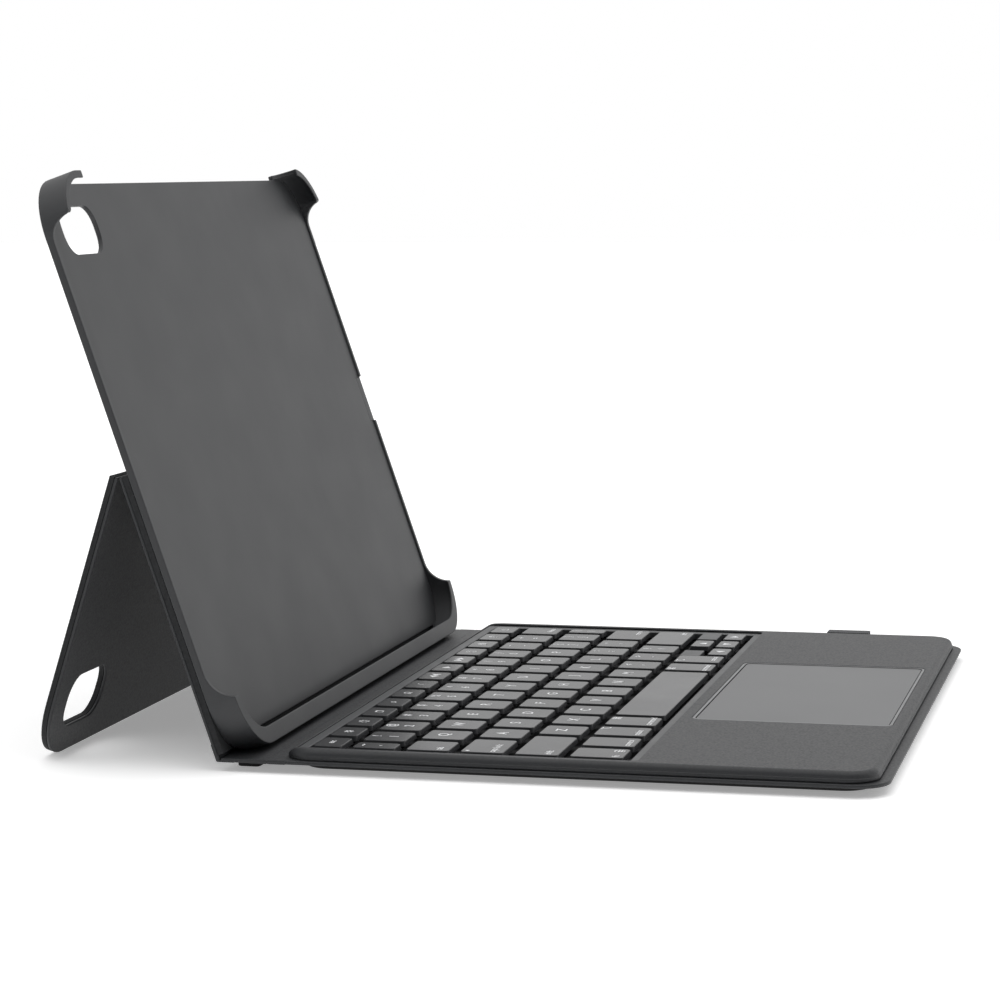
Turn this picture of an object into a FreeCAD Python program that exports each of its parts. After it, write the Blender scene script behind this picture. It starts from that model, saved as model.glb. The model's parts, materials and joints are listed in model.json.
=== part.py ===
import FreeCAD, Part
import math
import os

# Keyboard case for a slate computer.  Millimetres.
# X runs to the user's right, Y away from the user, Z up from the table (z = 0).
# The saved frame starts on the table under the middle of the front rubber foot.
# The case stands open: keyboard flat, tray leaning back on its kickstand.

os.makedirs("parts", exist_ok=True)
V = FreeCAD.Vector

# ------------------------------------------------------------------ slate computer
tablet_w = 248.6            # long side
tablet_h = 179.5            # short side
tablet_t = 7.0              # thickness
tablet_fit = 0.1            # slack each side in the tray

# ------------------------------------------------------------------ tray
wall_t = 1.9                # side walls of the corner grips
floor_t = 1.6               # tray floor
bottom_wall_t = 3.0         # wall under the slate's lower edge
top_wall_t = 1.4            # wall over the slate's upper edge, at the grips only
lip_t = 0.75                # thickness of the retaining lips
lip_in = 1.0                # how far the grip lips reach over the slate
bottom_lip_in = 2.3         # how far the long bottom lip reaches over it
side_low_n = 2.3            # height of the low side walls
grip_corner_r = 18.5        # corner radius seen from the front
back_round_r = 5.5          # outer rounding along the bottom back edge
bottom_grip_u = 18.7        # height where the bottom grips end
top_grip_in = 11.8          # the top grips begin this far under the slate's upper edge
side_scoop_r = 9.6          # concave run-out of the bottom grips
top_scoop_r = 7.3           # concave run-out of the top grips
top_grip_w_left = 22.2      # width of the left top grip along the top edge
top_grip_w_right = 17.3     # the right one is shorter, clear of the slate's buttons
top_tip_r = 1.1             # rounded lower tips of the top grips
slot_w = 1.2                # slot in the floor that lets the mould form the bottom lip
slot_left = -105.0          # its two ends
slot_right = 112.0
top_edge_drop = 1.7         # top edge sits this far under the grip tops
port_u0 = 86.0              # notch in the right wall for the slate's port
port_u1 = 103.5
port_n = 1.55
cam_side_in = 26.3          # camera window, centre from the tray's left side
cam_top_in = 15.2           # and from the slate's upper edge
cam_w = 29.0
cam_h = 15.4
cam_r = 6.5
recline = 19.0              # lean of the tray behind vertical, degrees
tray_y = 68.0               # world position of the tray's back-bottom corner
tray_z = 2.2

# ------------------------------------------------------------------ leather panels
panel_gap = 0.15            # closed kickstand to the back of the tray
skin_t = 1.1                # outer skin
board_t = 1.35              # stiffening board of the kickstand
lining_t = 0.3              # microfibre lining
panel_t = panel_gap + lining_t + board_t + skin_t
hinge_part = 0.4984         # kickstand crease, part of the tray's height
hinge_split = 0.4           # each panel stops this far from the crease
stand_cam_grow = 0.8        # camera window of the kickstand is this much larger
lower_end_u = 3.4           # lower board starts here
magnet_d = 8.0
magnet_t = 1.0
magnet_x = 60.0
magnet_top_in = 12.6        # centre from the tray's top edge
keeper_d = 10.0
keeper_t = 0.5
pocket_fit = 0.1

# ------------------------------------------------------------------ kickstand hinges
hinge_x = 78.0              # centre of each friction hinge from the middle
pin_d = 1.2
pin_fit = 0.02              # radial running fit of the pin
knuckle_r = 1.3
knuckle_len = 7.0
knuckle_gap = 0.3
knuckle_clear = 0.35        # panels are cut back this far round the knuckles
leaf_t = 0.5
leaf_len = 15.0
leaf_w = 22.0
leaf_fit = 0.05

# ------------------------------------------------------------------ flap
flap_z = 2.8                # underside of the flap and of the backing sheet
flap_t = 1.2
front_axis_y = 52.6         # crease between keyboard and flap
knee_len = 5.8              # first crease to the middle crease
crease_gap = 0.8            # square end of a strip to the next crease
bead_r = 0.55               # rolled lower end of the back skin
foot_strip_w = 7.2
foot_strip_y = 60.5
foot_strip_in = 8.3         # the strip stops this far inside the flap's ends

# ------------------------------------------------------------------ keyboard body
deck_top = 7.4
deck_wall = 2.2
deck_plate_t = 1.0
deck_in = 1.3               # deck narrower than the backing sheet, each side
deck_front_y = -126.4
deck_rear_y = 51.4
deck_r = 9.0
deck_edge_r = 2.0
deck_rear_wall = 3.0        # solid rim behind the keys
deck_slope = 6.4            # the rear edge falls away softly over this length
deck_slope_low = 4.35       # height of the deck's rear edge
sheet_front_y = -129.7
sheet_rear_y = 51.8
sheet_corner_r = 10.0
sheet_open_in = 6.0
sheet_open_front = -124.0
sheet_open_rear = 47.2
tray_in = 5.3               # black bottom tray inside the backing sheet, each side
under_z = 0.8               # underside of the bottom tray
under_floor_t = 0.8
under_front_y = -124.4
under_rear_y = 47.6
under_r = 9.0
under_edge_r = 1.1
neck_fit = 0.3              # tray neck inside the opening of the sheet
neck_wall = 1.2
foot_in_x = 14.0
foot_w = 7.0
foot_front_y = -112.0
foot_rear_y = 36.0

# ------------------------------------------------------------------ keys
field_x0 = -117.75          # left edge of the key field
field_w = 233.5
key_gap = 3.0
letter_pitch = 17.3
row_rear_f = 44.2           # rear edge of the function row
depth_f = 9.4
row_rear_n = 31.9           # rear edge of the number row
row_pitch = 16.7
depth_key = 13.8
depth_bottom = 16.6
arrow_gap = 1.7
function_keys = 14
cap_top = 7.2
cap_h = 1.6
cap_skin = 0.8
cap_draft = 0.35
cap_r = 1.1
stem_r = 1.0
stem_len = 1.25
key_travel = 1.2

# ------------------------------------------------------------------ key bezel
bezel_x = 120.8
bezel_front_y = -56.1
bezel_rear_y = 48.1
bezel_open_x = 0.65         # bezel opening beyond the key field, each side
bezel_open_front = -53.6
bezel_open_rear = 44.9
bezel_z0 = 4.3
bezel_z1 = 6.7
bezel_fit = 0.2
infill_end_x = 77.0         # blank pad left of the up-arrow key stops here

# ------------------------------------------------------------------ under the keys
plate_z = 3.0
plate_t = 0.4
stack_r = 7.0               # rear corners of the plate, membrane and dome mat
membrane_t = 0.2
mat_t = 0.2
dome_r = 2.3
dome_hole_r = 1.3
dome_h = 1.1
scissor_z = 3.85
scissor_t = 0.45
scissor_w = 1.0
scissor_in = 1.8
screw_y = (16.6, -16.85)
screw_x = (-100.0, 0.0, 100.0)
screw_head_r = 1.3
screw_shank_r = 0.6
screw_head_h = 0.5
screw_hole_fit = 0.1
boss_r = 2.4

# ------------------------------------------------------------------ trackpad
pad_x = 52.4
pad_rear_y = -61.3
pad_front_y = -121.8
pad_top = 7.15
pad_glass_t = 0.9
pad_board_t = 0.8
pad_gap = 0.25
pad_bezel_w = 0.9
pad_bezel_z0 = 5.9
pad_bezel_top = 7.3
pad_r = 2.0
switch_w = 5.0
switch_h = 0.5
switch_y = -117.0
switch_clear = 0.4

# ------------------------------------------------------------------ electronics
battery_x = 50.0
battery_front_y = -111.0
battery_rear_y = -66.0
battery_t = 2.4
board_x0 = 60.0
board_x1 = 112.0
board_front_y = -114.0
board_rear_y = -62.0
board_z = 2.4
board_thick = 0.8
chip_h = 1.0
port_y = -72.0
port_w = 8.9
port_h = 2.9
port_len = 7.2
port_z = 3.35
port_wall = 0.35
port_fit = 0.15
post_r = 1.6

# ------------------------------------------------------------------ stylus loop
loop_y0 = -95.0
loop_y1 = -79.6
loop_out = 5.0
loop_z0 = 4.15
loop_z1 = 7.4
loop_t = 0.7


# ================================================================== helpers
def box(x0, x1, y0, y1, z0, z1):
    return Part.makeBox(x1 - x0, y1 - y0, z1 - z0, V(x0, y0, z0))


def round_outline(x0, x1, y0, y1, z, radii):
    """Closed outline at height z; radii for corners SW, SE, NE, NW."""
    sw, se, ne, nw = radii
    corners = [(x0, y0, sw, 180), (x1, y0, se, 270), (x1, y1, ne, 0), (x0, y1, nw, 90)]
    edges = []
    points = []
    for cx, cy, r, start in corners:
        sx = 1 if cx == x0 else -1
        sy = 1 if cy == y0 else -1
        mx = cx + sx * r
        my = cy + sy * r
        a0 = math.radians(start)
        pts = [V(mx + r * math.cos(a0 + k * math.pi / 4), my + r * math.sin(a0 + k * math.pi / 4), z)
               for k in range(3)]
        points.append((pts, r))
    for i in range(4):
        pts, r = points[i]
        if r > 1e-6:
            edges.append(Part.Arc(pts[0], pts[1], pts[2]).toShape())
        nxt = points[(i + 1) % 4][0][0]
        if (nxt - pts[2]).Length > 1e-6:
            edges.append(Part.makeLine(pts[2], nxt))
    return Part.Wire(edges)


def prism(x0, x1, y0, y1, z0, z1, r=0.0, radii=None):
    wire = round_outline(x0, x1, y0, y1, z0, radii or (r, r, r, r))
    return Part.Face(wire).extrude(V(0, 0, z1 - z0))


def tapered(x0, x1, y0, y1, z0, z1, draft, r):
    low = round_outline(x0, x1, y0, y1, z0, (r, r, r, r))
    high = round_outline(x0 + draft, x1 - draft, y0 + draft, y1 - draft, z1, (r, r, r, r))
    return Part.makeLoft([low, high], True, True)


def side_profile(edges_or_points, x0, x1):
    """Prism along X from (y, z) points."""
    pts = [V(x0, y, z) for y, z in edges_or_points]
    return Part.Face(Part.makePolygon(pts + [pts[0]])).extrude(V(x1 - x0, 0, 0))


def x_cylinder(r, x0, x1, y, z):
    return Part.makeCylinder(r, x1 - x0, V(x0, y, z), V(1, 0, 0))


def z_cylinder(r, x, y, z0, z1):
    return Part.makeCylinder(r, z1 - z0, V(x, y, z0), V(0, 0, 1))


def save(name, shape):
    if shape.ShapeType == "Compound" and len(shape.Solids) == 1:
        shape = shape.Solids[0]
    shape = shape.copy()
    shape.translate(V(0, -(foot_front_y + foot_w / 2), 0))
    shape.exportStep("parts/" + name + ".step")


def group(shapes):
    return Part.makeCompound(shapes)


# ================================================================== tray placement
# The tray, the lower panel and the closed kickstand are drawn lying flat:
# local y is the height u on the tray, local z the distance n from its back.
lean = math.radians(90.0 - recline)
U = V(0, math.cos(lean), math.sin(lean))
N = V(0, -math.sin(lean), math.cos(lean))
tray_origin = V(0, tray_y, tray_z)


def place(shape):
    out = shape.copy()
    out.rotate(V(0, 0, 0), V(1, 0, 0), 90.0 - recline)
    out.translate(tray_origin)
    return out


def world(u, n):
    return tray_origin + U * u + N * n


# extents of the tray: heights u along it, half widths across it
tray_u0 = 0.5
tray_bottom_in = tray_u0 + bottom_wall_t
tray_top_in = tray_bottom_in + tablet_h + 2 * tablet_fit
tray_u1 = tray_top_in + top_wall_t
top_edge_u = tray_u1 - top_edge_drop
half_in = tablet_w / 2 + tablet_fit
half_out = half_in + wall_t
top_grip_u = tray_top_in - top_grip_in
top_grip_left = top_grip_w_left - half_out
top_grip_right = half_out - top_grip_w_right
cam_x = cam_side_in - half_out
cam_u = tray_top_in - cam_top_in
magnet_u = tray_u1 - magnet_top_in
flap_w = 2 * half_out

# kickstand angle: its free end rests on the table
hinge_u = hinge_part * tray_u1
hinge_n = -panel_t
hinge_relief_r = knuckle_r + knuckle_clear
hinge_world = world(hinge_u, hinge_n)
stand_body_t = lining_t + board_t + skin_t
stand_len = tray_u1 - hinge_u
stand_angle = math.degrees(math.acos(hinge_world.z / stand_len))
stand_fold = 180.0 - recline - stand_angle


def place_stand(shape):
    out = place(shape)
    out.rotate(hinge_world, V(1, 0, 0), -stand_fold)
    return out


# ================================================================== tray
lip_n0 = floor_t + tablet_t + 0.15
tray_depth = lip_n0 + lip_t

outer = prism(-half_out, half_out, tray_u0, tray_u1, 0, tray_depth, grip_corner_r)
inner_r = grip_corner_r - wall_t
cavity = prism(-half_in, half_in, tray_bottom_in, tray_top_in, floor_t, tray_depth + 1, inner_r)
lip_body = prism(-half_in, half_in, tray_bottom_in, tray_top_in, lip_n0, tray_depth, inner_r)
lip_open = prism(-half_in + lip_in, half_in - lip_in, tray_bottom_in + bottom_lip_in, tray_top_in - lip_in,
                 lip_n0 - 1, tray_depth + 1, inner_r - lip_in)
tray = outer.cut(cavity).fuse(lip_body.cut(lip_open))

# rounded bottom back edge: everything outside this arc goes
rc = tray_u0 + back_round_r
corner_block = box(-half_out - 1, half_out + 1, tray_u0 - 1, rc, -1, back_round_r)
corner_keep = x_cylinder(back_round_r, -half_out - 2, half_out + 2, rc, back_round_r)
tray = tray.cut(corner_block.cut(corner_keep))


def scoop(s_tip, s_dir, low, radius, far, tip_r=0.0):
    """(s, n) outline of the opening from a grip tip over the low edge."""
    top = tray_depth + 1
    cn = low + radius
    cs = s_tip + s_dir * math.sqrt(radius ** 2 - (cn - tray_depth) ** 2) if cn > tray_depth else s_tip + s_dir * radius
    pts = [(s_tip - s_dir * tip_r, top)]
    steps = 12
    if tip_r > 0:
        for k in range(steps):
            a = math.pi / 2 * (1 - k / steps)
            pts.append((s_tip - s_dir * tip_r * (1 - math.cos(a)), tray_depth - tip_r * (1 - math.sin(a))))
    a0 = math.asin(max(-1.0, min(1.0, (cn - tray_depth + tip_r) / radius)))
    for k in range(steps + 1):
        a = a0 + (math.pi / 2 - a0) * k / steps
        pts.append((cs - s_dir * radius * math.cos(a), cn - radius * math.sin(a)))
    pts.append((far, low))
    pts.append((far, top))
    return pts


mid_u = (bottom_grip_u + top_grip_u) / 2
low_cut = side_profile(scoop(bottom_grip_u, 1, side_low_n, side_scoop_r, mid_u), -half_out - 1, half_out + 1)
high_cut = side_profile(scoop(top_grip_u, -1, side_low_n, top_scoop_r, mid_u, top_tip_r),
                        -half_out - 1, half_out + 1)
tray = tray.cut(low_cut).cut(high_cut)


def top_scoop(tip, direction):
    pts = scoop(tip, direction, floor_t, top_scoop_r, 0.0)
    face = Part.Face(Part.makePolygon([V(s, tray_top_in - 12, n) for s, n in pts + [pts[0]]]))
    return face.extrude(V(0, 30, 0))


tray = tray.cut(top_scoop(top_grip_right, -1)).cut(top_scoop(top_grip_left, 1))
tray = tray.cut(box(top_grip_left + 6, top_grip_right - 6, top_edge_u, tray_u1 + 1, -1, tray_depth + 1))
tray = tray.cut(prism(slot_left, slot_right, tray_bottom_in + 0.6, tray_bottom_in + 0.6 + slot_w, -1, floor_t + 1,
                      slot_w / 2 - 0.05))
tray = tray.cut(prism(cam_x - cam_w / 2, cam_x + cam_w / 2, cam_u - cam_h / 2, cam_u + cam_h / 2,
                      -1, floor_t + 1, cam_r))
tray = tray.cut(box(half_in - 3, half_out + 1, port_u0, port_u1, port_n, tray_depth))
for sx in (-1, 1):
    tray = tray.cut(z_cylinder(keeper_d / 2 + pocket_fit, sx * magnet_x, magnet_u, -1, keeper_t))
save("tray", place(tray))
keepers = [z_cylinder(keeper_d / 2, sx * magnet_x, magnet_u, 0, keeper_t) for sx in (-1, 1)]
save("stand_keepers", group([place(k) for k in keepers]))


# ================================================================== panels and hinges
def hinge_span(side):
    c = side * hinge_x
    half = 1.5 * knuckle_len + knuckle_gap
    return c - half, c + half


def relief(side):
    x0, x1 = hinge_span(side)
    return x_cylinder(hinge_relief_r, x0 - knuckle_gap, x1 + knuckle_gap, hinge_u, hinge_n)


def leaf_plate(side, direction):
    """Flat part of a leaf in the middle of the board; direction -1 lower, 1 upper."""
    c = side * hinge_x
    z0 = hinge_n + skin_t
    a = hinge_u + direction * 1.0
    b = hinge_u + direction * leaf_len
    return box(c - leaf_w / 2, c + leaf_w / 2, min(a, b), max(a, b), z0, z0 + leaf_t)


def leaf_pocket(side, direction):
    c = side * hinge_x
    z0 = hinge_n + skin_t
    a = hinge_u
    b = hinge_u + direction * (leaf_len + leaf_fit)
    w = leaf_w / 2 + leaf_fit
    return box(c - w, c + w, min(a, b), max(a, b), z0 - 0.001, z0 + leaf_t + leaf_fit)


def knuckles(side, which, direction):
    c = side * hinge_x
    pitch = knuckle_len + knuckle_gap
    solids = []
    for k in which:
        x0 = c + k * pitch - knuckle_len / 2
        body = x_cylinder(knuckle_r, x0, x0 + knuckle_len, hinge_u, hinge_n)
        a = hinge_u
        b = hinge_u + direction * 2.6
        web = box(x0, x0 + knuckle_len, min(a, b), max(a, b), hinge_n + 0.5, hinge_n + skin_t + leaf_t)
        solids.append(body.fuse(web))
    return solids


def leaf(side, which, direction, radial_fit):
    shape = leaf_plate(side, direction)
    c = side * hinge_x
    pitch = knuckle_len + knuckle_gap
    for k in (-1, 0, 1):
        if k not in which:
            x0 = c + k * pitch - knuckle_len / 2 - knuckle_gap
            clear = x_cylinder(hinge_relief_r, x0, x0 + knuckle_len + 2 * knuckle_gap, hinge_u, hinge_n)
            shape = shape.cut(clear)
    for solid in knuckles(side, which, direction):
        shape = shape.fuse(solid)
    bore = x_cylinder(pin_d / 2 + radial_fit, c - leaf_w, c + leaf_w, hinge_u, hinge_n)
    return shape.cut(bore)


def web_room(side, which, direction):
    """Room in skin and board for the webs that join knuckles and leaf."""
    c = side * hinge_x
    pitch = knuckle_len + knuckle_gap
    rooms = []
    for k in which:
        x0 = c + k * pitch - knuckle_len / 2 - knuckle_gap / 2
        a = hinge_u
        b = hinge_u + direction * 2.75
        rooms.append(box(x0, x0 + knuckle_len + knuckle_gap, min(a, b), max(a, b), hinge_n - 0.5,
                         hinge_n + skin_t + 0.01))
    return rooms


# lower panel: skin, board; rolled end over the rear crease of the flap
flap_mid_z = flap_z + flap_t / 2
skin_mid_n = hinge_n + skin_t / 2
rear_axis_u = (flap_mid_z - tray_z - N.z * skin_mid_n) / U.z
rear_axis = world(rear_axis_u, skin_mid_n)
lower_top_u = hinge_u - hinge_split
lower_skin = box(-half_out, half_out, rear_axis_u, lower_top_u, hinge_n, hinge_n + skin_t)
lower_skin = lower_skin.fuse(x_cylinder(bead_r, -half_out, half_out, rear_axis_u, skin_mid_n))
lower_board = box(-half_out, half_out, lower_end_u, lower_top_u, hinge_n + skin_t, 0.0)
fixed = (0,)
moving = (-1, 1)
for side in (-1, 1):
    lower_skin = lower_skin.cut(relief(side))
    lower_board = lower_board.cut(relief(side)).cut(leaf_pocket(side, -1))
    for room in web_room(side, fixed, -1):
        lower_skin = lower_skin.cut(room)
save("lower_back_skin", place(lower_skin))
save("lower_back_board", place(lower_board))

stand_u0 = hinge_u + hinge_split
stand_radii = (0.0, 0.0, grip_corner_r, grip_corner_r)
n_skin = hinge_n + skin_t
n_board = n_skin + board_t
stand_skin = prism(-half_out, half_out, stand_u0, tray_u1, hinge_n, n_skin, radii=stand_radii)
stand_board = prism(-half_out, half_out, stand_u0, tray_u1, n_skin, n_board, radii=stand_radii)
stand_lining = prism(-half_out, half_out, stand_u0, tray_u1, n_board, n_board + lining_t, radii=stand_radii)
cw = cam_w / 2 + stand_cam_grow
ch = cam_h / 2 + stand_cam_grow
window = prism(cam_x - cw, cam_x + cw, cam_u - ch - stand_cam_grow, cam_u + ch - stand_cam_grow,
               hinge_n - 1, 1, cam_r + stand_cam_grow)
stand_skin = stand_skin.cut(window)
stand_board = stand_board.cut(window)
stand_lining = stand_lining.cut(window)
magnets = []
for side in (-1, 1):
    stand_skin = stand_skin.cut(relief(side))
    stand_board = stand_board.cut(relief(side)).cut(leaf_pocket(side, 1))
    for room in web_room(side, moving, 1):
        stand_skin = stand_skin.cut(room)
    stand_board = stand_board.cut(z_cylinder(magnet_d / 2 + pocket_fit, side * magnet_x, magnet_u,
                                             n_board - magnet_t, n_board + 0.1))
    magnets.append(z_cylinder(magnet_d / 2, side * magnet_x, magnet_u, n_board - magnet_t, n_board))
save("stand_skin", place_stand(stand_skin))
save("stand_board", place_stand(stand_board))
save("stand_lining", place_stand(stand_lining))
save("stand_magnets", group([place_stand(m) for m in magnets]))

for side, label in ((-1, "left"), (1, "right")):
    x0, x1 = hinge_span(side)
    save("hinge_fixed_leaf_" + label, place(leaf(side, fixed, -1, 0.0)))
    save("hinge_moving_leaf_" + label, place_stand(leaf(side, moving, 1, pin_fit)))
    save("hinge_pin_" + label, place(x_cylinder(pin_d / 2, x0, x1, hinge_u, hinge_n)))

# ================================================================== flap
front_axis = V(0, front_axis_y, flap_mid_z)
knee_y = front_axis_y + knee_len
end_r = flap_t / 2
fw = flap_w / 2
strip_a = box(-fw, fw, front_axis_y, knee_y - crease_gap, flap_z, flap_z + flap_t)
strip_a = strip_a.fuse(x_cylinder(end_r, -fw, fw, front_axis_y, flap_mid_z))
save("flap_front", strip_a)
strip_b = box(-fw, fw, knee_y, rear_axis.y - crease_gap, flap_z, flap_z + flap_t)
strip_b = strip_b.fuse(x_cylinder(end_r, -fw, fw, knee_y, flap_mid_z))
save("flap_rear", strip_b)
fx = fw - foot_strip_in
save("flap_foot", prism(-fx, fx, foot_strip_y, foot_strip_y + foot_strip_w, 0, flap_z, 1.5))

# ================================================================== keyboard shell
sheet_w = flap_w / 2
sheet_top = flap_z + flap_t
sheet = prism(-sheet_w, sheet_w, sheet_front_y, sheet_rear_y, flap_z, sheet_top,
              radii=(sheet_corner_r, sheet_corner_r, 0.0, 0.0))
sheet_open_x = sheet_w - sheet_open_in
sheet = sheet.cut(prism(-sheet_open_x, sheet_open_x, sheet_open_front, sheet_open_rear,
                        flap_z - 1, sheet_top + 1, under_r - 1.0))

deck_x = sheet_w - deck_in
deck = prism(-deck_x, deck_x, deck_front_y, deck_rear_y, sheet_top, deck_top, deck_r)
deck = deck.makeFillet(deck_edge_r, [e for e in deck.Edges if abs(e.BoundBox.ZMin - deck_top) < 1e-3])
slope_line = []
for k in range(13):
    fall = (k / 12) ** 3
    slope_line.append(V(-deck_x - 1, deck_rear_y + (k / 12 - 1) * deck_slope,
                        deck_top - (deck_top - deck_slope_low) * fall))
slope_line.append(V(-deck_x - 1, deck_rear_y + 1, deck_slope_low))
slope_line.append(V(-deck_x - 1, deck_rear_y + 1, deck_top + 1))
slope_line.append(V(-deck_x - 1, deck_rear_y - deck_slope, deck_top + 1))
slope_face = Part.Face(Part.makePolygon(slope_line + [slope_line[0]]))
deck = deck.cut(slope_face.extrude(V(2 * deck_x + 2, 0, 0)))
hx = deck_x - deck_wall
deck = deck.cut(prism(-hx, hx, deck_front_y + deck_wall, deck_rear_y - deck_rear_wall,
                      sheet_top - 1, deck_top - deck_plate_t, deck_r - deck_wall))
deck = deck.cut(prism(-bezel_x - bezel_fit, bezel_x + bezel_fit, bezel_front_y - bezel_fit,
                      bezel_rear_y + bezel_fit, sheet_top + 1, deck_top + 1, 2.0))
pb = pad_x + pad_gap + pad_bezel_w
pf = pad_front_y - pad_gap - pad_bezel_w
pr = pad_rear_y + pad_gap + pad_bezel_w
deck = deck.cut(prism(-pb - 0.1, pb + 0.1, pf - 0.1, pr + 0.1, sheet_top + 1, deck_top + 1, pad_r + 1.2))
port_room = box(deck_x - 20, deck_x + 5, port_y - port_w / 2 - port_fit, port_y + port_w / 2 + port_fit,
                port_z - port_fit, port_z + port_h + port_fit)
deck = deck.cut(port_room)
sheet = sheet.cut(port_room)
save("backing_sheet", sheet)
save("deck_skin", deck)

bo0 = field_x0 - bezel_open_x
bo1 = field_x0 + field_w + bezel_open_x
bezel = prism(-bezel_x, bezel_x, bezel_front_y, bezel_rear_y, bezel_z0, bezel_z1, 1.8)
bezel = bezel.cut(prism(bo0, bo1, bezel_open_front, bezel_open_rear, bezel_z0 - 1, bezel_z1 + 1, 0.8))

ux = sheet_w - tray_in
under = prism(-ux, ux, under_front_y, under_rear_y, under_z, flap_z, under_r)
under = under.makeFillet(under_edge_r, [e for e in under.Edges if abs(e.BoundBox.ZMax - under_z) < 1e-3])
nx = sheet_open_x - neck_fit
nf = sheet_open_front + neck_fit
nr = sheet_open_rear - neck_fit
neck = prism(-nx, nx, nf, nr, flap_z - 0.5, sheet_top, under_r - 1.3)
room_x = nx - neck_wall
room_f = nf + neck_wall
room_r = nr - neck_wall
under = under.fuse(neck)
under = under.cut(prism(-room_x, room_x, room_f, room_r, under_z + under_floor_t, deck_top, under_r - 2.5))
floor_z = under_z + under_floor_t
for sy in screw_y:
    for sx in screw_x:
        under = under.fuse(z_cylinder(boss_r, sx, sy, floor_z - 0.2, plate_z))
        under = under.cut(z_cylinder(screw_shank_r + screw_hole_fit, sx, sy, floor_z, plate_z + 1))
posts = [(x, y) for x in (board_x0 + 4, board_x1 - 4) for y in (board_front_y + 4, board_rear_y - 14)]
for px, py in posts:
    under = under.fuse(z_cylinder(post_r, px, py, floor_z - 0.2, board_z))
board_top_pad = pad_top - pad_glass_t - pad_board_t
switch_z = board_top_pad - switch_clear - switch_h
under = under.fuse(box(-4, 4, switch_y - 3, switch_y + 3, floor_z - 0.2, switch_z))
under = under.cut(port_room)
save("bottom_tray", under)

fx = ux - foot_in_x
save("foot_front", prism(-fx, fx, foot_front_y, foot_front_y + foot_w, 0, under_z, foot_w / 2 - 0.1))
save("foot_rear", prism(-fx, fx, foot_rear_y - foot_w, foot_rear_y, 0, under_z, foot_w / 2 - 0.1))

loop = box(deck_x - 0.8, sheet_w + loop_out, loop_y0, loop_y1, loop_z0, loop_z1)
loop = loop.cut(box(sheet_w - 0.6, sheet_w + loop_out - loop_t, loop_y0 - 1, loop_y1 + 1,
                    loop_z0 + loop_t, loop_z1 - loop_t))
loop = loop.cut(box(-deck_x, deck_x, loop_y0 - 1, loop_y1 + 1, 0, 20))
save("stylus_loop", loop)

# ================================================================== keys
unit = (field_w + key_gap) / function_keys
unit_w = unit - key_gap
letter_w = letter_pitch - key_gap
field_x1 = field_x0 + field_w
narrow_w = field_w - 13 * letter_pitch
tab_w = field_w - narrow_w - 12 * letter_pitch - key_gap
caps_w = (field_w - 11 * letter_pitch - key_gap) / 2
shift_w = (field_w - 10 * letter_pitch - key_gap) / 2


def row_y(i):
    rear = row_rear_n - i * row_pitch
    return rear - depth_key, rear


all_keys = []


def cap(x0, width, y0, y1):
    all_keys.append((x0, x0 + width, y0, y1))
    z0 = cap_top - cap_h
    solid = tapered(x0, x0 + width, y0, y1, z0, cap_top, cap_draft, cap_r)
    e = cap_skin + cap_draft
    solid = solid.cut(box(x0 + e, x0 + width - e, y0 + e, y1 - e, z0 - 1, cap_top - cap_skin))
    cx = x0 + width / 2
    cy = (y0 + y1) / 2
    solid = solid.fuse(z_cylinder(stem_r, cx, cy, cap_top - cap_skin - stem_len, cap_top - cap_skin + 0.2))
    return solid


y0f = row_rear_f - depth_f
save("keys_function", group([cap(field_x0 + i * unit, unit_w, y0f, row_rear_f) for i in range(function_keys)]))

y0, y1 = row_y(0)
row = [cap(field_x0, narrow_w, y0, y1)]
x = field_x0 + narrow_w + key_gap
row += [cap(x + i * letter_pitch, letter_w, y0, y1) for i in range(12)]
save("keys_number", group(row))
save("key_delete", cap(x + 12 * letter_pitch, letter_w, y0, y1))

y0, y1 = row_y(1)
save("key_tab", cap(field_x0, tab_w, y0, y1))
x = field_x0 + tab_w + key_gap
row = [cap(x + i * letter_pitch, letter_w, y0, y1) for i in range(12)]
row.append(cap(field_x1 - narrow_w, narrow_w, y0, y1))
save("keys_upper_letters", group(row))

y0, y1 = row_y(2)
save("key_caps_lock", cap(field_x0, caps_w, y0, y1))
x = field_x0 + caps_w + key_gap
save("keys_home_letters", group([cap(x + i * letter_pitch, letter_w, y0, y1) for i in range(11)]))
save("key_return", cap(field_x1 - caps_w, caps_w, y0, y1))

y0, y1 = row_y(3)
save("key_shift_left", cap(field_x0, shift_w, y0, y1))
x = field_x0 + shift_w + key_gap
save("keys_lower_letters", group([cap(x + i * letter_pitch, letter_w, y0, y1) for i in range(10)]))
save("key_shift_right", cap(field_x1 - shift_w, shift_w, y0, y1))

y1 = row_rear_n - 4 * row_pitch
y0 = y1 - depth_bottom
left_names = ["key_globe", "key_control", "key_option_left", "key_command_left"]
for i, name in enumerate(left_names):
    save(name, cap(field_x0 + i * unit, unit_w, y0, y1))
save("key_space", cap(field_x0 + 4 * unit, 5 * unit - key_gap, y0, y1))
save("key_command_right", cap(field_x0 + 9 * unit, unit_w, y0, y1))
save("key_option_right", cap(field_x0 + 10 * unit, unit_w, y0, y1))
arrow_d = (depth_bottom - arrow_gap) / 2
save("key_arrow_left", cap(field_x0 + 11 * unit, unit_w, y0, y0 + arrow_d))
save("key_arrow_down", cap(field_x0 + 12 * unit, unit_w, y0, y0 + arrow_d))
save("key_arrow_right", cap(field_x0 + 13 * unit, unit_w, y0, y0 + arrow_d))
save("key_arrow_up", cap(field_x0 + 12 * unit, unit_w, y1 - arrow_d, y1))

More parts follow.
